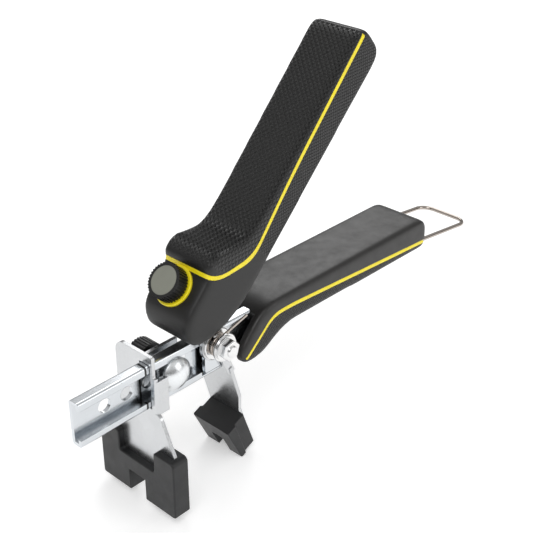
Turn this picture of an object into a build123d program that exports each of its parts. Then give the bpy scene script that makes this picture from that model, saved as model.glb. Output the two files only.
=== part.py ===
"""Tile-levelling pliers: a fixed lower lever with a C-channel rail and an adjustable front jaw,
a squeezing upper lever with the rear jaw, a return spring, a limit screw and a locking loop.

Drawn with X along the rail from its tip to the handles, Y across the tool and Z up, the front
jaw's foot at Z = 0 and its front face at X = 0. The near side is -Y. Each finished piece is then
moved so that the origin is the centre of the rail's outermost hole.
"""
from build123d import *
from math import atan2, cos, degrees, radians, sin
import os

os.makedirs("parts", exist_ok=True)

# ---- driving dimensions, millimetres ----
pivot_x = 45.5
pivot_z = 75.5
pivot_hole_r = 3.1
bolt_r = 3.0

rail_tip_x = -38.0
rail_end_x = 196.0
lips_end_x = 37.5
rail_far_y = -2.8
rail_near_y = -9.6
rail_bottom_z = 56.6
rail_top_z = 81.2
rail_wall = 2.0
lip_height = 4.2
hole_pitch = 13.3
hole_r = 3.7
trim_front_x = 56.0
trim_front_z = 61.5
trim_back_x = 72.0
trim_back_z = 70.0

plate_x = 4.0
plate_t = 2.0
shoe_width = 55.0
shoe_depth = 9.6
shoe_height = 34.0

handle_angle = 47.5
grip_half_width = 17.5
stripe_t = 2.2

jaw_open_angle = 23.6
rear_shoe_top = 56.5
rear_shoe_bottom = 79.5

lower_end_x = 213.0
bail_pivot_x = 206.0
bail_pivot_z = 72.0
bail_length = 51.5
bail_drop = 7.0
bail_half_width = 16.2
wire_r = 1.2
loop_corner_r = 8.0

knob_u = 15.0

# ---- derived places ----
rail_mid_z = (rail_bottom_z + rail_top_z) / 2
clamp_x = 20.0
u_x = cos(radians(handle_angle))
u_z = sin(radians(handle_angle))
origin_x = clamp_x - 3 * hole_pitch
origin_y = rail_far_y - rail_wall / 2
to_origin = Location((-origin_x, -origin_y, -rail_mid_z))


def side_plane(y):
    """A plane facing the near side, with X to the right and Z up, at depth y."""
    return Plane(origin=(0, y, 0), x_dir=(1, 0, 0), z_dir=(0, -1, 0))


def lever_plane(y):
    """A side plane on the pivot whose x runs up the upper handle and y towards its front."""
    return Plane(origin=(pivot_x, y, pivot_z), x_dir=(u_x, 0, u_z), z_dir=(0, -1, 0))


def jaw_plane(y):
    """A side plane on the pivot turned with the open rear jaw: x back, y up the jaw."""
    tilt = radians(jaw_open_angle)
    return Plane(origin=(pivot_x, y, pivot_z), x_dir=(cos(tilt), 0, sin(tilt)), z_dir=(0, -1, 0))


def knob_plane(height):
    """A plane across the limit screw, height above the handle's axis line, facing outward."""
    out_x = -u_z
    out_z = u_x
    origin = (pivot_x + knob_u * u_x + height * out_x, 0, pivot_z + knob_u * u_z + height * out_z)
    return Plane(origin=origin, x_dir=(u_x, 0, u_z), z_dir=(out_x, 0, out_z))


def pivot_plane(y):
    """A side plane centred on the pivot axis, at depth y, facing the near side."""
    return Plane(origin=(pivot_x, y, pivot_z), x_dir=(1, 0, 0), z_dir=(0, -1, 0))


def clamp_plane(y):
    """A side plane centred on the clamp bolt, at depth y, facing the near side."""
    return Plane(origin=(clamp_x, y, rail_mid_z), x_dir=(1, 0, 0), z_dir=(0, -1, 0))


def rounded_outline(*corners):
    """A closed outline from corners given as x, y and the radius of each corner."""
    with BuildSketch() as outline:
        with BuildLine():
            Polyline(*[(x, y) for x, y, radius in corners], close=True)
        make_face()
        for x, y, radius in corners:
            if radius:
                fillet(outline.vertices().sort_by_distance((x, y, 0))[0], radius)
    return outline.sketch


def keep(piece, label):
    """Label a finished piece and write it to its own file."""
    placed = piece.part.moved(to_origin)
    placed.label = label
    export_step(placed, "parts/" + label + ".step")


# ======== lower lever ========

# Rail: a lipped C-channel whose open side faces -Y, plain U-channel inside the handle.
with BuildPart() as rail:
    with BuildSketch(Plane.YZ.offset(rail_tip_x)):
        with BuildLine():
            Polyline(
                (rail_near_y, rail_bottom_z + lip_height),
                (rail_near_y, rail_bottom_z),
                (rail_far_y, rail_bottom_z),
                (rail_far_y, rail_top_z),
                (rail_near_y, rail_top_z),
                (rail_near_y, rail_top_z - lip_height),
                (rail_near_y + rail_wall, rail_top_z - lip_height),
                (rail_near_y + rail_wall, rail_top_z - rail_wall),
                (rail_far_y - rail_wall, rail_top_z - rail_wall),
                (rail_far_y - rail_wall, rail_bottom_z + rail_wall),
                (rail_near_y + rail_wall, rail_bottom_z + rail_wall),
                (rail_near_y + rail_wall, rail_bottom_z + lip_height),
                close=True,
            )
        make_face()
    extrude(amount=rail_end_x - rail_tip_x)
    outer_corners = (
        rail.edges()
        .filter_by(Axis.X)
        .filter_by(lambda e: abs(e.center().Z - rail_mid_z) > rail_top_z - rail_mid_z - 0.1)
    )
    fillet(outer_corners, 1.6)
    with BuildSketch(side_plane(rail_near_y - 1)):
        with Locations(((lips_end_x + rail_end_x) / 2, rail_mid_z)):
            Rectangle(rail_end_x - lips_end_x, rail_top_z - rail_bottom_z - 2 * rail_wall)
    extrude(amount=-(rail_wall + 1.2), mode=Mode.SUBTRACT)
    for start_x, low_z in ((trim_front_x, trim_front_z), (trim_back_x, trim_back_z)):
        with BuildSketch(side_plane(rail_near_y - 1)):
            with Locations(((start_x + rail_end_x + 2) / 2, low_z - 15.0)):
                Rectangle(rail_end_x + 2 - start_x, 30.0)
        extrude(amount=-20.0, mode=Mode.SUBTRACT)
    for step in range(4):
        with BuildSketch(side_plane(rail_far_y + 1)):
            with Locations((clamp_x - hole_pitch * step, rail_mid_z)):
                Circle(hole_r)
        extrude(amount=rail_wall + 2, mode=Mode.SUBTRACT)
    with BuildSketch(pivot_plane(rail_far_y + 1)):
        Circle(pivot_hole_r)
    extrude(amount=rail_wall + 2, mode=Mode.SUBTRACT)
keep(rail, "rail")

# Cheek plate closing the channel's mouth round the pivot.
cheek_near_y = -9.4
cheek_far_y = -7.4
with BuildPart() as pivot_cheek:
    with BuildSketch(side_plane(cheek_far_y)):
        with Locations((55.9, rail_mid_z)):
            RectangleRounded(32.0, rail_top_z - rail_bottom_z - 2 * rail_wall, 1.5)
        with Locations((66.0, trim_front_z - 10.0)):
            Rectangle(2 * (66.0 - trim_front_x), 20.0, mode=Mode.SUBTRACT)
        with Locations((pivot_x, pivot_z)):
            Circle(pivot_hole_r, mode=Mode.SUBTRACT)
    extrude(amount=cheek_far_y - cheek_near_y)
keep(pivot_cheek, "pivot_cheek")

sleeve_r = 3.65
with BuildPart() as pivot_sleeve:
    with BuildSketch(pivot_plane(rail_far_y - rail_wall)):
        Circle(sleeve_r)
        Circle(pivot_hole_r, mode=Mode.SUBTRACT)
    extrude(amount=rail_far_y - rail_wall - cheek_far_y)
keep(pivot_sleeve, "pivot_sleeve")

# Pivot stack: boss washer, spring, outer washer and flange nut on the near side, bolt head far.
frame_t = 2.0
near_cheek_y = -12.0
far_cheek_y = -0.6
boss_t = 1.2
washer_t = 0.8
spring_wire_r = 0.7
spring_r = 5.6
spring_turns = 1.5
spring_pitch = 1.5
spring_leg = 19.0
play = 0.1
coil_start_y = near_cheek_y - play - boss_t - spring_wire_r - 0.05
coil_near_y = coil_start_y - spring_turns * spring_pitch - spring_wire_r - 0.4
nut_far_y = coil_near_y - washer_t
bolt_head_y = far_cheek_y + play + washer_t
nut_flange_t = 1.2
nut_hex_t = 3.6

with BuildPart() as pivot_washers:
    with BuildSketch(pivot_plane(near_cheek_y - play)):
        Circle(8.6)
        Circle(pivot_hole_r, mode=Mode.SUBTRACT)
    extrude(amount=boss_t)
    chamfer(pivot_washers.faces().sort_by(Axis.Y)[0].outer_wire().edges(), 0.4)
    with BuildSketch(pivot_plane(coil_near_y)):
        Circle(7.4)
        Circle(pivot_hole_r, mode=Mode.SUBTRACT)
    extrude(amount=washer_t)
    with BuildSketch(pivot_plane(bolt_head_y)):
        Circle(7.0)
        Circle(pivot_hole_r, mode=Mode.SUBTRACT)
    extrude(amount=washer_t)
keep(pivot_washers, "pivot_washers")

with BuildPart() as pivot_nut:
    with BuildSketch(pivot_plane(nut_far_y)):
        Circle(6.6)
    extrude(amount=nut_flange_t)
    with BuildSketch(pivot_plane(nut_far_y - nut_flange_t)):
        RegularPolygon(5.7, 6, rotation=12)
    extrude(amount=nut_hex_t)
    chamfer(pivot_nut.faces().sort_by(Axis.Y)[0].edges(), 0.5)
    with BuildSketch(pivot_plane(nut_far_y + 1)):
        Circle(bolt_r)
    extrude(amount=8, mode=Mode.SUBTRACT)
keep(pivot_nut, "pivot_nut")

with BuildPart() as pivot_bolt:
    with BuildSketch(pivot_plane(bolt_head_y)):
        Circle(bolt_r)
    extrude(amount=bolt_head_y - nut_far_y + nut_flange_t + nut_hex_t + 0.9)
    chamfer(pivot_bolt.faces().sort_by(Axis.Y)[0].edges(), 0.5)
    with BuildSketch(pivot_plane(bolt_head_y + 4.0)):
        RegularPolygon(5.8, 6)
    extrude(amount=4.0)
keep(pivot_bolt, "pivot_bolt")

# Torsion return spring: coil round the bolt, one leg along the lower lever, one stub up.
leg_lift = 18.0
coil = Helix(spring_pitch, spring_pitch * spring_turns, spring_r, (0, 0, 0), (0, 0, 1), lefthand=True)
leg_dir = coil % 1
leg_turn = degrees(atan2(leg_dir.Y, leg_dir.X))
coil_plane = Plane(
    origin=(pivot_x, coil_start_y, pivot_z),
    x_dir=(cos(radians(leg_lift - leg_turn)), 0, sin(radians(leg_lift - leg_turn))),
    z_dir=(0, -1, 0),
)
with BuildPart() as return_spring:
    with BuildLine() as spring_path:
        add(coil_plane * coil)
    path = spring_path.wires()[0]
    with BuildSketch(Plane(origin=path @ 0, z_dir=path % 0)):
        Circle(spring_wire_r)
    sweep(path=path, is_frenet=True)
    with BuildSketch(Plane(origin=path @ 1, z_dir=path % 1)):
        Circle(spring_wire_r)
    extrude(amount=spring_leg)
keep(return_spring, "return_spring")

# ---- lower handle: top shell, yellow parting band, bottom grip ----
lower_top_z = 85.5
slot_near_y = -12.8
slot_far_y = 5.0
leg_recess_y = 14.7

lower_side = rounded_outline(
    (lower_end_x, lower_top_z, 7.0),
    (lower_end_x, 66.2, 5.0),
    (91.0, 67.8, 26.0),
    (73.0, 57.0, 9.0),
    (59.5, 57.0, 4.2),
    (57.5, 65.0, 8.0),
    (75.0, lower_top_z, 16.0),
)


def lower_above(shift):
    """The side view's region above the parting line, moved up by shift."""
    return rounded_outline(
        (52.0, 52.0 + shift, 0),
        (81.0, 77.8 + shift, 12.0),
        (95.0, 78.0 + shift, 40.0),
        (lower_end_x + 9, 69.9 + shift, 0),
        (lower_end_x + 9, 110.0, 0),
        (52.0, 110.0, 0),
    )


with BuildPart() as lower_blank:
    with BuildSketch(side_plane(grip_half_width)):
        add(lower_side)
    extrude(amount=2 * grip_half_width)
    side_edges = lower_blank.edges().filter_by(lambda e: abs(abs(e.center().Y) - grip_half_width) < 0.01)
    fillet(side_edges, 3.8)
    # Pocket for the rail, slot for the moving cheeks, recesses for the loop's legs.
    for start_x, end_x, low_z in (
        (trim_front_x - 6, trim_back_x, trim_front_z),
        (trim_back_x, rail_end_x, trim_back_z),
    ):
        with BuildSketch(side_plane(rail_far_y)):
            with Locations(((start_x + end_x) / 2, (low_z + rail_top_z) / 2)):
                Rectangle(end_x - start_x, rail_top_z - low_z)
        extrude(amount=rail_far_y - rail_near_y, mode=Mode.SUBTRACT)
    with BuildSketch(side_plane(slot_far_y)):
        with Locations((59.0, 79.0)):
            Rectangle(26.0, 30.0)
        with Locations((55.5, 60.0)):
            Rectangle(19.0, 20.0)
    extrude(amount=slot_far_y - slot_near_y, mode=Mode.SUBTRACT)
    for outer_y in (grip_half_width + 1, -leg_recess_y):
        with BuildSketch(side_plane(outer_y)):
            with Locations((bail_pivot_x + 7.0, bail_pivot_z + 5.0)):
                Rectangle(20.0, 24.0)
        extrude(amount=grip_half_width + 1 - leg_recess_y, mode=Mode.SUBTRACT)
    with BuildSketch(side_plane(grip_half_width)):
        with Locations((bail_pivot_x, bail_pivot_z)):
            Circle(wire_r + 0.07)
    extrude(amount=2 * grip_half_width, mode=Mode.SUBTRACT)
above_band = lower_above(stripe_t / 2)
above_bottom = lower_above(-stripe_t / 2)
cut_width = 2 * grip_half_width + 2

with BuildPart() as lower_top_shell:
    add(lower_blank.part)
    with BuildSketch(side_plane(cut_width / 2)):
        add(above_band)
    extrude(amount=cut_width, mode=Mode.INTERSECT)
keep(lower_top_shell, "lower_top_shell")

with BuildPart() as lower_stripe:
    add(lower_blank.part)
    with BuildSketch(side_plane(cut_width / 2)):
        add(above_bottom)
    extrude(amount=cut_width, mode=Mode.INTERSECT)
    with BuildSketch(side_plane(cut_width / 2)):
        add(above_band)
    extrude(amount=cut_width, mode=Mode.SUBTRACT)
keep(lower_stripe, "lower_stripe")

with BuildPart() as lower_grip:
    add(lower_blank.part)
    with BuildSketch(side_plane(cut_width / 2)):
        add(above_bottom)
    extrude(amount=cut_width, mode=Mode.SUBTRACT)
keep(lower_grip, "lower_grip")

# ---- locking loop: bent wire hinged in the lower handle's end ----
loop_dir = (cos(radians(-bail_drop)), 0, sin(radians(-bail_drop)))
loop_plane = Plane(origin=(bail_pivot_x, 0, bail_pivot_z), x_dir=loop_dir, z_dir=(-loop_dir[2], 0, loop_dir[0]))
with BuildPart() as locking_loop:
    with BuildLine(loop_plane):
        FilletPolyline(
            (0, -bail_half_width + 7.0),
            (0, -bail_half_width),
            (bail_length, -bail_half_width),
            (bail_length, bail_half_width),
            (0, bail_half_width),
            (0, bail_half_width - 7.0),
            radius=[1.3, loop_corner_r, loop_corner_r, 1.3],
        )
    with BuildSketch(Plane(origin=loop_plane.from_local_coords((0, -bail_half_width + 7.0)), z_dir=(0, -1, 0))):
        Circle(wire_r)
    sweep()
keep(locking_loop, "locking_loop")

# ======== upper lever ========
lever_side = rounded_outline(
    (171.5, 21.0, 7.0),
    (168.5, -2.5, 7.0),
    (60.0, 0.5, 60.0),
    (22.0, 1.2, 12.0),
    (3.0, 8.2, 8.0),
    (-8.8, 20.5, 8.0),
    (0.5, 34.0, 8.0),
    (25.6, 34.0, 1.2),
    (27.6, 38.4, 3.2),
    (37.0, 38.2, 6.0),
    (48.0, 23.6, 14.0),
    (62.0, 21.6, 60.0),
)


def lever_front(shift):
    """The side region in front of the upper parting line, moved towards the front by shift."""
    return rounded_outline(
        (182.0, 17.2 + shift, 0),
        (90.0, 16.0 + shift, 60.0),
        (45.0 + shift, 12.6 + shift, 8.0),
        (27.0 + shift, 32.0, 8.0),
        (27.0 + shift, 60.0, 0),
        (182.0, 60.0, 0),
    )


cap_u = 166.0
inner_far_y = 6.0
frame_depth = 13.0
frame_mid_f = 9.5
frame_end_u = 150.0
bore_r = 4.6

with BuildPart() as lever_blank:
    with BuildSketch(lever_plane(grip_half_width)):
        add(lever_side)
    extrude(amount=2 * grip_half_width)
    side_edges = lever_blank.edges().filter_by(lambda e: abs(abs(e.center().Y) - grip_half_width) < 0.01)
    fillet(side_edges, 3.0)

with BuildPart() as upper_end_cap:
    add(lever_blank.part)
    with BuildSketch(lever_plane(cut_width / 2)):
        with Locations((cap_u + 10, 10)):
            Rectangle(20, 60)
    extrude(amount=cut_width, mode=Mode.INTERSECT)
    with BuildSketch(lever_plane(cut_width / 2)):
        with Locations((cap_u + 2.6, 20.0)):
            Rectangle(2.5, 7.0)
    extrude(amount=cut_width, mode=Mode.SUBTRACT)
keep(upper_end_cap, "upper_end_cap")

# Room inside the handle for the steel frame, the pivot stack and the screw.
with BuildPart() as lever_room:
    with BuildSketch(lever_plane(inner_far_y + frame_t)):
        with Locations(((frame_end_u - 20) / 2, frame_mid_f)):
            Rectangle(frame_end_u + 20, frame_depth)
    extrude(amount=inner_far_y + frame_t - near_cheek_y)
    with BuildSketch(pivot_plane(far_cheek_y)):
        Circle(11.0)
    extrude(amount=grip_half_width + 2)
    with BuildSketch(pivot_plane(grip_half_width)):
        Circle(10.5)
    extrude(amount=grip_half_width + 0.7)
    with BuildSketch(lever_plane(cut_width / 2)):
        with Locations((cap_u + 10, 10)):
            Rectangle(20, 60)
    extrude(amount=cut_width)
    with BuildSketch(knob_plane(36.0)):
        Circle(bore_r)
    extrude(amount=-40.0)

front_of_band = lever_front(stripe_t / 2)
front_of_back = lever_front(-stripe_t / 2)

with BuildPart() as upper_front_grip:
    add(lever_blank.part)
    with BuildSketch(lever_plane(cut_width / 2)):
        add(front_of_band)
    extrude(amount=cut_width, mode=Mode.INTERSECT)
    add(lever_room.part, mode=Mode.SUBTRACT)
keep(upper_front_grip, "upper_front_grip")

with BuildPart() as upper_stripe:
    add(lever_blank.part)
    with BuildSketch(lever_plane(cut_width / 2)):
        add(front_of_back)
    extrude(amount=cut_width, mode=Mode.INTERSECT)
    with BuildSketch(lever_plane(cut_width / 2)):
        add(front_of_band)
    extrude(amount=cut_width, mode=Mode.SUBTRACT)
    add(lever_room.part, mode=Mode.SUBTRACT)
keep(upper_stripe, "upper_stripe")

with BuildPart() as upper_head:
    add(lever_blank.part)
    with BuildSketch(lever_plane(cut_width / 2)):
        add(front_of_back)
    extrude(amount=cut_width, mode=Mode.SUBTRACT)
    add(lever_room.part, mode=Mode.SUBTRACT)
keep(upper_head, "upper_head")

# Rear jaw plate: steel plate across the two cheeks, its near corner cut off above the shoe.
jaw_near_y = -12.5
jaw_far_y = 13.5
jaw_plate_outline = rounded_outline(
    (jaw_near_y, -21.5, 0),
    (jaw_near_y, -43.0, 6.0),
    (-9.0, -55.0, 0),
    (-9.0, -74.0, 0),
    (9.0, -74.0, 0),
    (9.0, -59.0, 0),
    (jaw_far_y, -59.0, 0),
    (jaw_far_y, -21.5, 0),
)
with BuildPart() as rear_jaw_plate:
    with BuildSketch(jaw_plane(jaw_far_y)):
        with BuildLine():
            Polyline(
                (-0.3, -21.5),
                (1.8, -21.5),
                (-2.9, -58.0),
                (-5.5, -74.0),
                (-7.7, -74.0),
                (-5.1, -58.0),
                close=True,
            )
        make_face()
    extrude(amount=jaw_far_y - jaw_near_y)
    with BuildSketch(Plane(jaw_plane(0).origin, x_dir=(0, 1, 0), z_dir=jaw_plane(0).x_dir)):
        add(jaw_plate_outline)
    extrude(amount=25.0, both=True, mode=Mode.INTERSECT)
keep(rear_jaw_plate, "rear_jaw_plate")

# Rear jaw shoe: a moulded block with a wider pad in front and a notch between two legs.
with BuildPart() as rear_jaw_shoe:
    for half_width, back in ((12.0, -4.6), (13.3, -12.5)):
        with BuildSketch(jaw_plane(half_width)):
            with BuildLine():
                Polyline(
                    (back, -rear_shoe_top),
                    (back - 1.6, -rear_shoe_bottom),
                    (-17.8, -rear_shoe_bottom),
                    (-18.8, -rear_shoe_top),
                    close=True,
                )
            make_face()
        extrude(amount=2 * half_width)
    upright = rear_jaw_shoe.edges().filter_by(lambda e: e.length > 20 and abs(e.center().Y) > 11)
    chamfer(upright, 0.5)
    with BuildSketch(jaw_plane(4.2)):
        with Locations((-16.0, -rear_shoe_bottom)):
            Rectangle(8.0, 24.0)
    extrude(amount=8.4, mode=Mode.SUBTRACT)
    add(rear_jaw_plate.part, mode=Mode.SUBTRACT)
keep(rear_jaw_shoe, "rear_jaw_shoe")

# Upper steel frame: near and far cheeks on the pivot, joined by a web inside the handle.
with BuildPart() as upper_frame:
    for far_y in (near_cheek_y + frame_t, far_cheek_y):
        with BuildSketch(pivot_plane(far_y)):
            Circle(9.5)
        extrude(amount=frame_t)
        with BuildSketch(jaw_plane(far_y)):
            with Locations((0.5, -12.5)):
                Rectangle(4.6, 25.0)
        extrude(amount=frame_t)
    with BuildSketch(lever_plane(near_cheek_y + frame_t)):
        with Locations((frame_end_u / 2, frame_mid_f)):
            Rectangle(frame_end_u, frame_depth)
    extrude(amount=frame_t)
    with BuildSketch(lever_plane(far_cheek_y)):
        with Locations((4.2, frame_mid_f)):
            Rectangle(8.4, frame_depth)
    extrude(amount=frame_t)
    with BuildSketch(lever_plane(inner_far_y + frame_t)):
        with Locations((8.4 - frame_t / 2, frame_mid_f)):
            Rectangle(frame_t, frame_depth)
    extrude(amount=inner_far_y + 2 * frame_t - far_cheek_y)
    with BuildSketch(lever_plane(inner_far_y + frame_t)):
        with Locations(((frame_end_u + 8.4 - frame_t) / 2, frame_mid_f)):
            Rectangle(frame_end_u - 8.4 + frame_t, frame_depth)
    extrude(amount=frame_t)
    with BuildSketch(lever_plane(inner_far_y + frame_t)):
        with Locations(((frame_end_u + 30) / 2, frame_mid_f + frame_depth / 2 - frame_t / 2)):
            Rectangle(frame_end_u - 30, frame_t)
    extrude(amount=inner_far_y + frame_t - near_cheek_y)
    with BuildSketch(pivot_plane(inner_far_y)):
        Circle(5.0)
    extrude(amount=30.0, mode=Mode.SUBTRACT)
    add(rear_jaw_plate.part, mode=Mode.SUBTRACT)
keep(upper_frame, "upper_frame")

with BuildPart() as pivot_bushes:
    for far_y in (near_cheek_y + frame_t, far_cheek_y):
        with BuildSketch(pivot_plane(far_y)):
            Circle(5.0)
            Circle(bolt_r + 0.05, mode=Mode.SUBTRACT)
        extrude(amount=frame_t)
keep(pivot_bushes, "pivot_bushes")

# ---- limit screw with its knurled knob ----
head_face = 34.0
bezel_t = 1.5
knob_base = 36.2
knob_top = 43.2
knob_r = 9.2
knob_grooves = 36
cap_r = 7.4
cap_t = 1.0
screw_r = 3.0
pad_tip = 3.2

with BuildPart() as knob_bezel:
    with BuildSketch(knob_plane(head_face)):
        Circle(10.4)
        Circle(bore_r, mode=Mode.SUBTRACT)
    extrude(amount=bezel_t)
    chamfer(knob_bezel.faces().sort_by(Axis.Z)[-1].outer_wire().edges(), 0.4)
keep(knob_bezel, "knob_bezel")

with BuildPart() as screw_insert:
    with BuildSketch(knob_plane(head_face)):
        Circle(bore_r)
        Circle(screw_r + 0.05, mode=Mode.SUBTRACT)
    extrude(amount=-12.0)
keep(screw_insert, "screw_insert")

with BuildPart() as limit_screw:
    with BuildSketch(knob_plane(knob_base)):
        Circle(screw_r)
    extrude(amount=-(knob_base - pad_tip - 2.0))
keep(limit_screw, "limit_screw")

with BuildPart() as stop_pad:
    with BuildSketch(knob_plane(pad_tip + 2.0)):
        Circle(4.3)
    extrude(amount=-2.0)
keep(stop_pad, "stop_pad")

with BuildPart() as limit_knob:
    with BuildSketch(knob_plane(knob_base)):
        Circle(knob_r)
        with PolarLocations(knob_r, knob_grooves):
            Rectangle(0.9, 0.8, mode=Mode.SUBTRACT)
    extrude(amount=knob_top - knob_base)
    with BuildSketch(knob_plane(knob_top)):
        Circle(cap_r)
    extrude(amount=-cap_t, mode=Mode.SUBTRACT)
keep(limit_knob, "limit_knob")

with BuildPart() as knob_cap:
    with BuildSketch(knob_plane(knob_top - cap_t)):
        Circle(cap_r)
    extrude(amount=cap_t - 0.1)
keep(knob_cap, "knob_cap")

# ======== front jaw ========
window_gap = 0.3
bracket_top = 86.0
bracket_far_y = 15.0
bracket_near_y = -13.0
flange_far_y = -11.5
flange_end_x = 12.0
ear_near_y = 0.6
ear_end_x = 31.0
ear_height = 22.0

bracket_outline = rounded_outline(
    (bracket_near_y, 74.5, 0),
    (-11.4, 74.5, 0.8),
    (-11.4, bracket_top, 1.0),
    (bracket_far_y, bracket_top, 6.0),
    (bracket_far_y, 56.0, 8.0),
    (24.6, 33.0, 0),
    (24.6, 5.0, 0),
    (7.6, 5.0, 0),
    (7.6, 19.5, 0),
    (-7.6, 19.5, 0),
    (-7.6, 5.0, 0),
    (-24.6, 5.0, 0),
    (-24.6, 33.0, 0),
    (-15.0, 54.0, 4.0),
    (bracket_near_y, 54.5, 0),
)

with BuildPart() as jaw_bracket:
    with BuildSketch(Plane.YZ.offset(plate_x)):
        add(bracket_outline)
    extrude(amount=plate_t)
    with BuildSketch(side_plane(flange_far_y)):
        with Locations(((plate_x + flange_end_x) / 2, 63.5)):
            Rectangle(flange_end_x - plate_x, 19.0)
    extrude(amount=plate_t)
    fillet(jaw_bracket.edges().filter_by(Axis.Z).sort_by_distance((plate_x, flange_far_y - plate_t, 63.5))[0], 1.8)
    with BuildSketch(side_plane(ear_near_y + plate_t)):
        with Locations(((plate_x + ear_end_x) / 2, rail_mid_z)):
            Rectangle(ear_end_x - plate_x, ear_height)
    extrude(amount=plate_t)
    with BuildSketch(clamp_plane(ear_near_y + plate_t)):
        Circle(bolt_r + 0.05)
    extrude(amount=plate_t, mode=Mode.SUBTRACT)
    with BuildSketch(Plane.YZ.offset(plate_x)):
        with Locations(((rail_near_y + rail_far_y) / 2, rail_mid_z)):
            Rectangle(rail_far_y - rail_near_y + 2 * window_gap, rail_top_z - rail_bottom_z + 2 * window_gap)
    extrude(amount=plate_t, mode=Mode.SUBTRACT)
keep(jaw_bracket, "jaw_bracket")

shoe_outline = rounded_outline(
    (shoe_width / 2, 0, 1.6),
    (shoe_width / 2, shoe_height, 2.5),
    (13.0, shoe_height, 1.5),
    (13.0, 21.9, 1.4),
    (-13.0, 21.9, 1.4),
    (-13.0, shoe_height, 1.5),
    (-shoe_width / 2, shoe_height, 2.5),
    (-shoe_width / 2, 0, 1.6),
)
with BuildPart() as front_jaw_shoe:
    with BuildSketch(Plane.YZ):
        add(shoe_outline)
    extrude(amount=shoe_depth)
    fillet(front_jaw_shoe.edges().filter_by(lambda e: abs(e.center().X) < 0.01), 0.8)
    for depth, height in ((6.6, 13.2), (shoe_depth, 6.5)):
        with BuildSketch(Plane.YZ):
            with Locations((0.3, height / 2)):
                Rectangle(12.2, height)
        extrude(amount=depth, mode=Mode.SUBTRACT)
    add(jaw_bracket.part, mode=Mode.SUBTRACT)
keep(front_jaw_shoe, "front_jaw_shoe")

# Guide button: a domed head on the lips, a neck between them and a plate gripping behind them.
dome_base_y = rail_near_y - 0.1
dome_r = 8.8
dome_rise = 4.8
with BuildPart() as guide_button:
    with BuildSketch(Plane(origin=(clamp_x, dome_base_y, rail_mid_z), x_dir=(1, 0, 0), z_dir=(0, 0, 1))):
        with BuildLine():
            Line((0, 0), (dome_r, 0))
            Line((dome_r, 0), (dome_r, -0.9))
            ThreePointArc((dome_r, -0.9), (0.62 * dome_r, -0.74 * dome_rise), (0, -dome_rise))
            Line((0, -dome_rise), (0, 0))
        make_face()
    revolve(axis=Axis((clamp_x, 0, rail_mid_z), (0, 1, 0)))
    with BuildSketch(clamp_plane(dome_base_y)):
        with Locations((-9.8, -1.4)):
            Rectangle(7.4, 9.0)
    extrude(amount=dome_base_y - flange_far_y)
    with BuildSketch(clamp_plane(dome_base_y + 2.3)):
        Rectangle(8.0, 15.4)
    extrude(amount=2.3)
    with BuildSketch(clamp_plane(dome_base_y + 4.0)):
        RectangleRounded(17.0, 18.4, 2.0)
    extrude(amount=1.8)
keep(guide_button, "guide_button")

# Clamp screw: a pad bearing on the web, a stud through the ear and a knurled knob.
pad_near_y = rail_far_y + 0.1
pad_t = 1.9
knob_far_y = 17.6
clamp_knob_t = 9.2
clamp_knob_r = 8.7
with BuildPart() as clamp_screw:
    with BuildSketch(clamp_plane(pad_near_y + pad_t)):
        Circle(5.6)
    extrude(amount=pad_t)
    with BuildSketch(clamp_plane(knob_far_y - 1.5)):
        Circle(bolt_r)
    extrude(amount=knob_far_y - 1.5 - pad_near_y - pad_t)
keep(clamp_screw, "clamp_screw")

with BuildPart() as clamp_washer:
    with BuildSketch(clamp_plane(ear_near_y + plate_t + 1.1)):
        Circle(6.6)
        Circle(bolt_r + 0.05, mode=Mode.SUBTRACT)
    extrude(amount=1.0)
keep(clamp_washer, "clamp_washer")

with BuildPart() as clamp_knob:
    with BuildSketch(clamp_plane(knob_far_y)):
        Circle(clamp_knob_r)
        with PolarLocations(clamp_knob_r, 30):
            Rectangle(0.9, 0.9, mode=Mode.SUBTRACT)
    extrude(amount=clamp_knob_t)
    with BuildSketch(clamp_plane(knob_far_y - clamp_knob_t)):
        Circle(6.0)
    extrude(amount=knob_far_y - clamp_knob_t - ear_near_y - plate_t - 1.2)
    add(clamp_screw.part, mode=Mode.SUBTRACT)
keep(clamp_knob, "clamp_knob")
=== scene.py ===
import math

import bmesh
import bpy
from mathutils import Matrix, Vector


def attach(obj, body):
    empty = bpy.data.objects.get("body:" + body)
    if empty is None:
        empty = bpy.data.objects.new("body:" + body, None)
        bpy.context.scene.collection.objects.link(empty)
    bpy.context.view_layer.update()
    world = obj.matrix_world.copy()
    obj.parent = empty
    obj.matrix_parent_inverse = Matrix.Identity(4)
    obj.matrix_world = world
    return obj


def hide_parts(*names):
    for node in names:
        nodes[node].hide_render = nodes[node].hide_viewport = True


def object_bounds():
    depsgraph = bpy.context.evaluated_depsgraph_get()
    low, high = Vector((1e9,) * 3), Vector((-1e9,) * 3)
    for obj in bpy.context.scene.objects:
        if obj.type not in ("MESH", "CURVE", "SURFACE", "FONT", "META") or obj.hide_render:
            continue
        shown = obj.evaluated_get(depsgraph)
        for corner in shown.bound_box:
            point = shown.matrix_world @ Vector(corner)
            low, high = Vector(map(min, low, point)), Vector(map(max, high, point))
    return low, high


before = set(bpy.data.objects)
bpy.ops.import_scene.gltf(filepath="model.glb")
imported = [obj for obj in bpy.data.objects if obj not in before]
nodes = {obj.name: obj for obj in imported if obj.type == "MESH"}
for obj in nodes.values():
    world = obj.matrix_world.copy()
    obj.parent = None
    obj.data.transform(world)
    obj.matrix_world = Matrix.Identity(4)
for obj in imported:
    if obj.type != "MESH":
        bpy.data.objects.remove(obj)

cad_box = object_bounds()

# The upper handle's slope, the pivot's place and half the handles' width, in metres.
handle_angle = math.radians(47.5)
pivot = Vector((0.0654, 0.0038, 0.0066))
half = 0.0175


# ---- small node-building helpers ----

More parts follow.
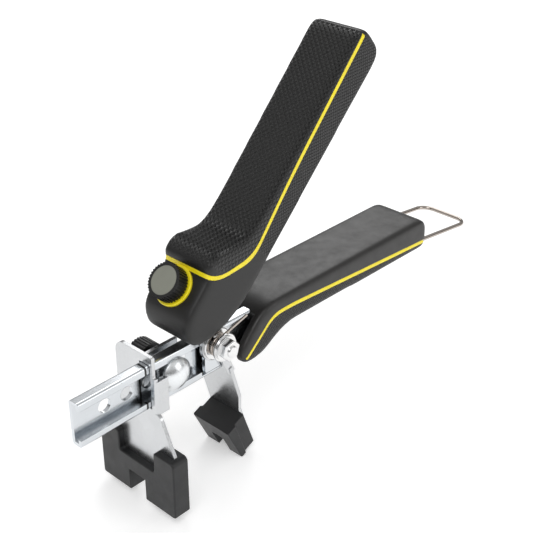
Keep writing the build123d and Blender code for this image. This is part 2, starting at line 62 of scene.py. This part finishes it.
class Surface:
    """One procedural material: a principled shader with maths and texture nodes in front of it."""

    def __init__(self, name, color, rough, metal=0.0):
        self.mat = bpy.data.materials.new(name)
        self.mat.use_nodes = True
        self.tree = self.mat.node_tree
        self.bsdf = self.tree.nodes["Principled BSDF"]
        self.bsdf.inputs["Base Color"].default_value = (*color, 1)
        self.bsdf.inputs["Roughness"].default_value = rough
        self.bsdf.inputs["Metallic"].default_value = metal
        self.color = color
        self.mat.diffuse_color = (*color, 1)

    def node(self, kind, **settings):
        made = self.tree.nodes.new(kind)
        for key, value in settings.items():
            setattr(made, key, value)
        return made

    def link(self, a, b):
        self.tree.links.new(a, b)

    def calc(self, op, a, b=None, c=None):
        made = self.node("ShaderNodeMath", operation=op)
        for slot, value in enumerate((a, b, c)):
            if value is None:
                continue
            if isinstance(value, (int, float)):
                made.inputs[slot].default_value = value
            else:
                self.link(value, made.inputs[slot])
        return made.outputs[0]

    def place(self, tilt=0.0, origin=(0, 0, 0), stretch=(1, 1, 1)):
        """Object coordinates turned about Y by tilt, then stretched."""
        coord = self.node("ShaderNodeTexCoord").outputs["Object"]
        mapping = self.node("ShaderNodeMapping", vector_type="TEXTURE")
        mapping.inputs["Location"].default_value = origin
        mapping.inputs["Rotation"].default_value = (0, -tilt, 0)
        mapping.inputs["Scale"].default_value = [1 / s for s in stretch]
        self.link(coord, mapping.inputs["Vector"])
        return mapping.outputs["Vector"]

    def split(self, vector):
        parts = self.node("ShaderNodeSeparateXYZ")
        self.link(vector, parts.inputs[0])
        return parts.outputs

    def noise(self, vector, scale, detail=3.0, rough=0.55):
        made = self.node("ShaderNodeTexNoise")
        made.inputs["Scale"].default_value = scale
        made.inputs["Detail"].default_value = detail
        made.inputs["Roughness"].default_value = rough
        self.link(vector, made.inputs["Vector"])
        return made.outputs["Fac"]

    def remap(self, value, low, high, start=0.3, end=0.7):
        made = self.node("ShaderNodeMapRange")
        made.inputs["From Min"].default_value = start
        made.inputs["From Max"].default_value = end
        made.inputs["To Min"].default_value = low
        made.inputs["To Max"].default_value = high
        self.link(value, made.inputs["Value"])
        return made.outputs["Result"]

    def blend(self, fac, a, b):
        made = self.node("ShaderNodeMix", data_type="RGBA")
        self.link(fac, made.inputs[0])
        for slot, value in ((6, a), (7, b)):
            if isinstance(value, tuple):
                made.inputs[slot].default_value = (*value, 1)
            else:
                self.link(value, made.inputs[slot])
        return made.outputs[2]

    def shade(self, amount):
        """The base colour made darker or lighter by amount."""
        return tuple(min(1, c * amount) for c in self.color)

    def relief(self, heights, edge=0.0003):
        """Stacked bumps, each (height socket, distance in metres), over softly rounded edges."""
        bevel = self.node("ShaderNodeBevel", samples=6)
        bevel.inputs["Radius"].default_value = edge
        normal = bevel.outputs["Normal"]
        for height, distance in heights:
            bump = self.node("ShaderNodeBump")
            bump.inputs["Strength"].default_value = 1.0
            bump.inputs["Distance"].default_value = distance
            self.link(height, bump.inputs["Height"])
            self.link(normal, bump.inputs["Normal"])
            normal = bump.outputs["Normal"]
        self.link(normal, self.bsdf.inputs["Normal"])

    def colour_socket(self):
        """Where the base colour comes from now."""
        return self.bsdf.inputs["Base Color"].links[0].from_socket

    def set(self, name, value):
        socket = self.bsdf.inputs[name]
        if hasattr(value, "is_output"):
            self.link(value, socket)
        else:
            socket.default_value = value


def diamonds(surface, along, across, pitch):
    """A field of small raised diamonds on two coordinates, 0 in the grooves and 1 on the tips."""
    a = surface.calc("PINGPONG", surface.calc("ADD", along, across), pitch / 2)
    b = surface.calc("PINGPONG", surface.calc("SUBTRACT", along, across), pitch / 2)
    return surface.calc("DIVIDE", surface.calc("MINIMUM", a, b), pitch / 2)


def plastic(name, color, rough, grain=0.00003, grain_scale=2600.0, edge=0.0004, spread=0.16):
    made = Surface(name, color, rough)
    where = made.place()
    fine = made.noise(where, grain_scale, 2.0)
    broad = made.noise(where, 55.0, 4.0)
    tones = made.blend(made.remap(broad, 0, 1), made.shade(1 - spread), made.shade(1 + spread))
    made.set("Base Color", tones)
    made.set("Roughness", made.remap(made.noise(where, 160.0, 4.0), rough - 0.05, rough + 0.06))
    made.set("Specular IOR Level", 0.5)
    made.relief([(fine, grain)], edge)
    return made


def steel(name, color, rough, stretch, edge=0.00025, spread=0.05, grain=0.000004):
    made = Surface(name, color, rough, 1.0)
    drawn = made.noise(made.place(stretch=stretch), 900.0, 3.0, 0.6)
    cloud = made.noise(made.place(), 70.0, 4.0)
    tones = made.blend(made.remap(cloud, 0, 1), made.shade(1 - spread), made.shade(1 + spread))
    made.set("Base Color", tones)
    streaks = made.remap(drawn, rough * 0.8, rough * 1.15)
    made.set("Roughness", made.calc("ADD", streaks, made.remap(cloud, -0.02, 0.03)))
    made.relief([(drawn, grain)], edge)
    return made


def grip(name, color, rough, tilt, pitch, depth, start, smooth_color):
    """Moulded grip: diamonds along a handle from start onwards, plain before it."""
    made = Surface(name, color, rough)
    where = made.place()
    turned = made.split(made.place(tilt=tilt, origin=pivot if tilt else (0, 0, 0)))
    side = made.calc("ADD", turned["Y"], turned["Z"])
    field = diamonds(made, turned["X"], side, pitch)
    on = made.remap(turned["X"], 0, 1, start, start + 0.004)
    tips = made.calc("MULTIPLY", field, on)
    fine = made.noise(where, 2400.0, 2.0)
    broad = made.noise(where, 40.0, 4.0)
    body = made.blend(made.remap(broad, 0, 1), made.shade(0.85), made.shade(1.15))
    # The raised diamond tips are painted lighter than the body colour: a painted glint on each tip.
    painted_tip_glint = made.blend(made.remap(tips, 0, 1, 0.35, 1.0), body, made.shade(2.2))
    made.set("Base Color", made.blend(on, smooth_color, painted_tip_glint))
    made.set("Roughness", made.remap(tips, rough + 0.06, rough - 0.08, 0.0, 1.0))
    made.relief([(tips, depth), (fine, 0.000025)], 0.0004)
    return made


# ---- metals ----
index_line_x = 0.0216
index_line_half = 0.0006
zinc = steel("zinc_plate", (0.66, 0.685, 0.71), 0.19, (1, 30, 30))
along_rail = zinc.split(zinc.place())["X"]
from_line = zinc.calc("ABSOLUTE", zinc.calc("SUBTRACT", along_rail, index_line_x))
mark = zinc.calc("LESS_THAN", from_line, index_line_half)
zinc.set("Base Color", zinc.blend(mark, zinc.colour_socket(), (0.01, 0.01, 0.01)))
zinc.set("Metallic", zinc.calc("SUBTRACT", 1.0, mark))

satin = steel("satin_plate", (0.62, 0.63, 0.64), 0.28, (1, 1, 26))
bright = steel("bright_hardware", (0.80, 0.80, 0.80), 0.17, (20, 1, 20))
dome = steel("dome_zinc", (0.78, 0.80, 0.81), 0.27, (3, 30, 3), spread=0.10, grain=0.00001)
wire = steel("drawn_wire", (0.46, 0.41, 0.37), 0.16, (1, 20, 20))
brass = steel("turned_brass", (0.75, 0.56, 0.27), 0.25, (12, 12, 1))

# ---- plastics ----
smooth_black = (0.0085, 0.0083, 0.0080)
upper_front = grip(
    "upper_front_texture", (0.0085, 0.0084, 0.0082), 0.38, handle_angle,
    pitch=0.0032, depth=0.00090, start=0.030, smooth_color=smooth_black,
)
upper_side = grip(
    "upper_side_texture", (0.0070, 0.0070, 0.0070), 0.42, handle_angle,
    pitch=0.0023, depth=0.00065, start=0.048, smooth_color=smooth_black,
)
lower_side = grip(
    "lower_side_texture", (0.0080, 0.0080, 0.0080), 0.40, 0.0,
    pitch=0.0024, depth=0.00070, start=0.080, smooth_color=smooth_black,
)
top_cover = plastic("smooth_cover", (0.017, 0.0160, 0.0150), 0.40)
end_black = plastic("smooth_black", (0.0090, 0.0090, 0.0090), 0.42)
shoe_black = plastic("shoe_plastic", (0.0090, 0.0092, 0.0100), 0.46, grain=0.00005, edge=0.0006)
knob_black = plastic("knob_plastic", (0.0070, 0.0070, 0.0070), 0.32, grain=0.00002)
cap_grey = plastic("cap_plastic", (0.24, 0.245, 0.205), 0.50, grain=0.00003, spread=0.06)
yellow = plastic("yellow_plastic", (0.98, 0.80, 0.012), 0.36, grain=0.00002, spread=0.04)


# The lower band is black where it shows inside the handle's front slot.
slot_end_x = 0.0935
slot_middle_y = 0.0002
slot_half = 0.0135
yellow_low = plastic("yellow_lower", (0.98, 0.80, 0.012), 0.36, grain=0.00002, spread=0.04)
inside = yellow_low.split(yellow_low.place())
near_slot = yellow_low.calc("LESS_THAN", inside["X"], slot_end_x)
from_middle = yellow_low.calc("ABSOLUTE", yellow_low.calc("SUBTRACT", inside["Y"], slot_middle_y))
between = yellow_low.calc("LESS_THAN", from_middle, slot_half)
walls = yellow_low.calc("MULTIPLY", near_slot, between)
yellow_low.set("Base Color", yellow_low.blend(walls, yellow_low.colour_socket(), smooth_black))

# ---- soft-edged handles: an outline drawn across the tool, rounded, then cut at the parting lines ----
jaw_foot_x = 19.9
jaw_foot_z = 68.9


def to_lever(u, f):
    """Side-view place, in metres, of a point u along the upper handle and f towards its front, in mm."""
    ca, sa = math.cos(handle_angle), math.sin(handle_angle)
    return pivot.x + (u * ca - f * sa) / 1000, pivot.z + (u * sa + f * ca) / 1000


def to_lower(x, z):
    """Side-view place, in metres, of a point of the lower handle, in mm from the jaw's foot."""
    return (x + jaw_foot_x) / 1000, (z - jaw_foot_z) / 1000


def prism(name, outline, near, far):
    """A straight block with a side-view outline, from y = near to y = far."""
    count = len(outline)
    points = [(x, y, z) for y in (near, far) for x, z in outline]
    faces = [list(range(count)), list(range(2 * count - 1, count - 1, -1))]
    for i in range(count):
        k = (i + 1) % count
        faces.append([i, i + count, k + count, k])
    mesh = bpy.data.meshes.new(name)
    mesh.from_pydata(points, [], faces)
    mesh.update()
    made = bpy.data.objects.new(name, mesh)
    bpy.context.scene.collection.objects.link(made)
    bm = bmesh.new()
    bm.from_mesh(mesh)
    bmesh.ops.recalc_face_normals(bm, faces=bm.faces)
    bm.to_mesh(mesh)
    bm.free()
    return made


def freeze(shape):
    """Applies a piece's modifiers to its mesh."""
    graph = bpy.context.evaluated_depsgraph_get()
    mesh = bpy.data.meshes.new_from_object(shape.evaluated_get(graph))
    shape.modifiers.clear()
    shape.data = mesh
    return shape


def soften(shape, voxel, rounds):
    """Rounds a block's edges: an even remesh, then smoothing."""
    remesh = shape.modifiers.new("remesh", "REMESH")
    remesh.mode = "VOXEL"
    remesh.voxel_size = voxel
    smooth = shape.modifiers.new("smooth", "SMOOTH")
    smooth.factor = 0.5
    smooth.iterations = rounds
    return freeze(shape)


def carve(shape, tool, operation):
    cut = shape.modifiers.new("cut", "BOOLEAN")
    cut.object = tool
    cut.operation = operation
    cut.solver = "EXACT"
    freeze(shape)
    return shape


def copy_of(shape, name):
    made = bpy.data.objects.new(name, shape.data.copy())
    bpy.context.scene.collection.objects.link(made)
    return made


def rounded(points, steps=6):
    """Corners (x, z, radius) replaced by short curves. A corner of no radius stays sharp."""
    out = []
    count = len(points)
    for i, corner in enumerate(points):
        here = Vector(corner[:2])
        r = corner[2]
        before = Vector(points[i - 1][:2]) - here
        after = Vector(points[(i + 1) % count][:2]) - here
        reach = min(r, before.length * 0.45, after.length * 0.45)
        if reach <= 0:
            out.append(tuple(here))
            continue
        start = here + before.normalized() * reach
        end = here + after.normalized() * reach
        for k in range(steps + 1):
            t = k / steps
            out.append(tuple((1 - t) ** 2 * start + 2 * t * (1 - t) * here + t ** 2 * end))
    return out


def finish_form(piece, look, body, node):
    """Gives a form its one material and soft shading, and lets it stand for its CAD node."""
    piece.data.materials.clear()
    piece.data.materials.append(look.mat)
    for face in piece.data.polygons:
        face.use_smooth = True
        face.material_index = 0
    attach(piece, body)
    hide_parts(node)


def handle(blank, outline_front, outline_back, names, looks, body, slots):
    """Cuts a rounded blank into the piece in front of the band, the band and the piece behind it."""
    front = prism("front_region", outline_front, pivot.y - past_side, pivot.y + past_side)
    back = prism("back_region", outline_back, pivot.y - past_side, pivot.y + past_side)
    made = [
        carve(copy_of(blank, names[0]), front, "INTERSECT"),
        carve(carve(copy_of(blank, names[1]), back, "INTERSECT"), front, "DIFFERENCE"),
        carve(copy_of(blank, names[2]), back, "DIFFERENCE"),
    ]
    for piece, look, slot, node in zip(made, looks, slots, names):
        piece.name = node + "_form"
        finish_form(piece, look, body, node)
    for tool in (front, back, blank):
        bpy.data.objects.remove(tool, do_unlink=True)


past_side = 0.03
voxel = 0.0009
rounds = 60
far_side_in = 0.0030
room_r = 11.0
room_steps = 48
cap_start = 166.4
band_half = 1.1

lever_points = [
    (170.5, 21.5, 9), (168.0, -2.5, 8), (60, 0.4, 40), (22, 1.2, 10), (3, 8.2, 8), (-8.8, 20.5, 9),
    (0.5, 34.2, 8), (25.6, 34.2, 1), (27.4, 38.6, 4), (37, 38.4, 6), (48, 23.8, 12), (62, 21.6, 40),
]
lever_blank = prism(
    "lever_blank", [to_lever(u, f) for u, f in rounded(lever_points)],
    pivot.y - half, pivot.y + half - far_side_in,
)
soften(lever_blank, voxel, rounds)
room = prism(
    "room",
    [
        to_lever(room_r * math.cos(k * math.tau / room_steps), room_r * math.sin(k * math.tau / room_steps))
        for k in range(room_steps)
    ],
    pivot.y - past_side, pivot.y + 0.001,
)
carve(lever_blank, room, "DIFFERENCE")
bpy.data.objects.remove(room, do_unlink=True)
groove = prism(
    "groove", [to_lever(u, f) for u, f in ((167.4, 17.6), (169.6, 17.6), (169.6, 26), (167.4, 26))],
    pivot.y - past_side, pivot.y + past_side,
)
carve(lever_blank, groove, "DIFFERENCE")
bpy.data.objects.remove(groove, do_unlink=True)
end_region = prism(
    "end_region", [to_lever(u, f) for u, f in ((cap_start, -20), (190, -20), (190, 50), (cap_start, 50))],
    pivot.y - past_side, pivot.y + past_side,
)
end_form = carve(copy_of(lever_blank, "upper_end_cap_form"), end_region, "INTERSECT")
carve(lever_blank, end_region, "DIFFERENCE")
bpy.data.objects.remove(end_region, do_unlink=True)
finish_form(end_form, end_black, "upper_lever", "upper_end_cap")


def lever_region(shift):
    """What lies in front of the upper handle's parting line, moved by shift."""
    return [
        to_lever(u, f)
        for u, f in rounded(
            [(190, 17.6 + shift, 0), (90, 16.0 + shift, 40), (45 + shift, 12.6 + shift, 8),
             (25.2 + shift, 30.0, 10), (24.6 + shift, 60, 0), (190, 60, 0)])
    ]


handle(
    lever_blank, lever_region(band_half), lever_region(-band_half),
    ("upper_front_grip", "upper_stripe", "upper_head"), (upper_front, yellow, upper_side),
    "upper_lever", ("black_grip", "yellow_plastic", "black_smooth"),
)

lower_points = [
    (213, 85.5, 9), (213, 66.2, 6), (91, 67.8, 26), (73, 57, 9), (59.5, 57, 5), (57.5, 65, 8), (75, 85.5, 16),
]
lower_blank = prism(
    "lower_blank", [to_lower(x, z) for x, z in rounded(lower_points)], pivot.y - half, pivot.y + half
)
soften(lower_blank, voxel, rounds)
slot_cut = prism(
    "slot_cut", [to_lower(x, z) for x, z in ((40, 50), (65, 50), (65, 64), (72, 64), (72, 94), (40, 94))],
    pivot.y - 0.0128, pivot.y + 0.005,
)
carve(lower_blank, slot_cut, "DIFFERENCE")
bpy.data.objects.remove(slot_cut, do_unlink=True)


def lower_region(shift):
    """What lies over the lower handle's parting line, moved by shift."""
    return [
        to_lower(x, z)
        for x, z in rounded(
            [(52, 52 + shift, 0), (81, 77.8 + shift, 12), (95, 78 + shift, 30), (225, 69.9 + shift, 0),
             (225, 110, 0), (52, 110, 0)])
    ]


handle(
    lower_blank, lower_region(band_half), lower_region(-band_half),
    ("lower_top_shell", "lower_stripe", "lower_grip"), (top_cover, yellow_low, lower_side),
    "lower_lever", ("black_smooth", "yellow_plastic", "black_grip"),
)

# ---- materials of the CAD's own pieces ----
looks = {
    "rail": zinc, "pivot_cheek": zinc, "pivot_sleeve": zinc,
    "pivot_washers": bright, "pivot_nut": bright, "pivot_bolt": bright, "guide_button": dome,
    "limit_screw": bright, "clamp_screw": bright, "clamp_washer": bright,
    "return_spring": wire, "locking_loop": wire,
    "jaw_bracket": satin, "rear_jaw_plate": satin, "upper_frame": satin,
    "pivot_bushes": brass, "screw_insert": brass,
    "lower_top_shell": top_cover, "lower_grip": lower_side,
    "lower_stripe": yellow, "upper_stripe": yellow, "knob_bezel": yellow,
    "upper_front_grip": upper_front, "upper_head": upper_side, "upper_end_cap": end_black,
    "front_jaw_shoe": shoe_black, "rear_jaw_shoe": shoe_black, "stop_pad": shoe_black,
    "limit_knob": knob_black, "clamp_knob": knob_black, "knob_cap": cap_grey,
}
for name, look in looks.items():
    shape = nodes[name]
    shape.data.materials.clear()
    shape.data.materials.append(look.mat)

# ---- floor, light and camera ----
low = min(corner[2] for corner in cad_box)
floor_mesh = bpy.data.meshes.new("floor")
reach = 6.0
floor_corners = [(-reach, -reach, low), (reach, -reach, low), (reach, reach, low), (-reach, reach, low)]
floor_mesh.from_pydata(floor_corners, [], [(0, 1, 2, 3)])
floor = bpy.data.objects.new("floor", floor_mesh)
bpy.context.scene.collection.objects.link(floor)
floor_look = Surface("pale_floor", (0.93, 0.93, 0.93), 0.7)
floor_look.set("Specular IOR Level", 0.1)
floor_look.set("Emission Color", (1, 1, 1, 1))
floor_look.set("Emission Strength", 0.34)
floor_mesh.materials.append(floor_look.mat)

world = bpy.data.worlds.new("soft_box")
bpy.context.scene.world = world
world.use_nodes = True
sky = world.node_tree
back = sky.nodes["Background"]
coord = sky.nodes.new("ShaderNodeTexCoord")
parts = sky.nodes.new("ShaderNodeSeparateXYZ")
ramp = sky.nodes.new("ShaderNodeValToRGB")
sky.links.new(coord.outputs["Generated"], parts.inputs[0])
height = sky.nodes.new("ShaderNodeMapRange")
height.inputs["From Min"].default_value = -1.0
sky.links.new(parts.outputs["Z"], height.inputs["Value"])
sky.links.new(height.outputs["Result"], ramp.inputs["Fac"])
stops = ramp.color_ramp.elements
stops[0].position, stops[0].color = 0.0, (0.9, 0.9, 0.9, 1)
stops[1].position, stops[1].color = 1.0, (1.0, 1.0, 1.0, 1)
for place, level in ((0.44, 0.85), (0.50, 0.12), (0.57, 0.20), (0.66, 0.62), (0.80, 1.0)):
    stop = stops.new(place)
    stop.color = (level, level, level, 1)
sky.links.new(ramp.outputs["Color"], back.inputs["Color"])
back.inputs["Strength"].default_value = 0.62


def area_light(name, place, aim, size, power):
    data = bpy.data.lights.new(name, "AREA")
    data.shape = "RECTANGLE"
    data.size, data.size_y = size
    data.energy = power
    lamp = bpy.data.objects.new(name, data)
    bpy.context.scene.collection.objects.link(lamp)
    lamp.location = place
    lamp.rotation_euler = (Vector(aim) - Vector(place)).to_track_quat("-Z", "Y").to_euler()


centre = (0.11, 0.0, 0.03)
area_light("key", (-0.55, -0.45, 0.95), centre, (0.7, 0.7), 4.2)
area_light("rim", (0.75, 0.55, 0.75), centre, (0.5, 0.9), 3.2)
area_light("side", (0.55, -0.95, 0.35), centre, (0.5, 0.5), 1.6)

# The camera stands where it sees the tool as the photograph does.
camera_at = (-0.2463, -0.3367, 0.3039)
camera_aim = (0.1086, -0.0014, 0.0296)
lens = bpy.data.cameras.new("camera")
lens.sensor_width = 36.0
lens.lens = 73.93
lens.clip_start = 0.01
camera = bpy.data.objects.new("camera", lens)
bpy.context.scene.collection.objects.link(camera)
camera.location = camera_at
camera.rotation_euler = (Vector(camera_aim) - camera.location).to_track_quat("-Z", "Y").to_euler()
bpy.context.scene.camera = camera
bpy.context.scene.view_settings.view_transform = "Standard"
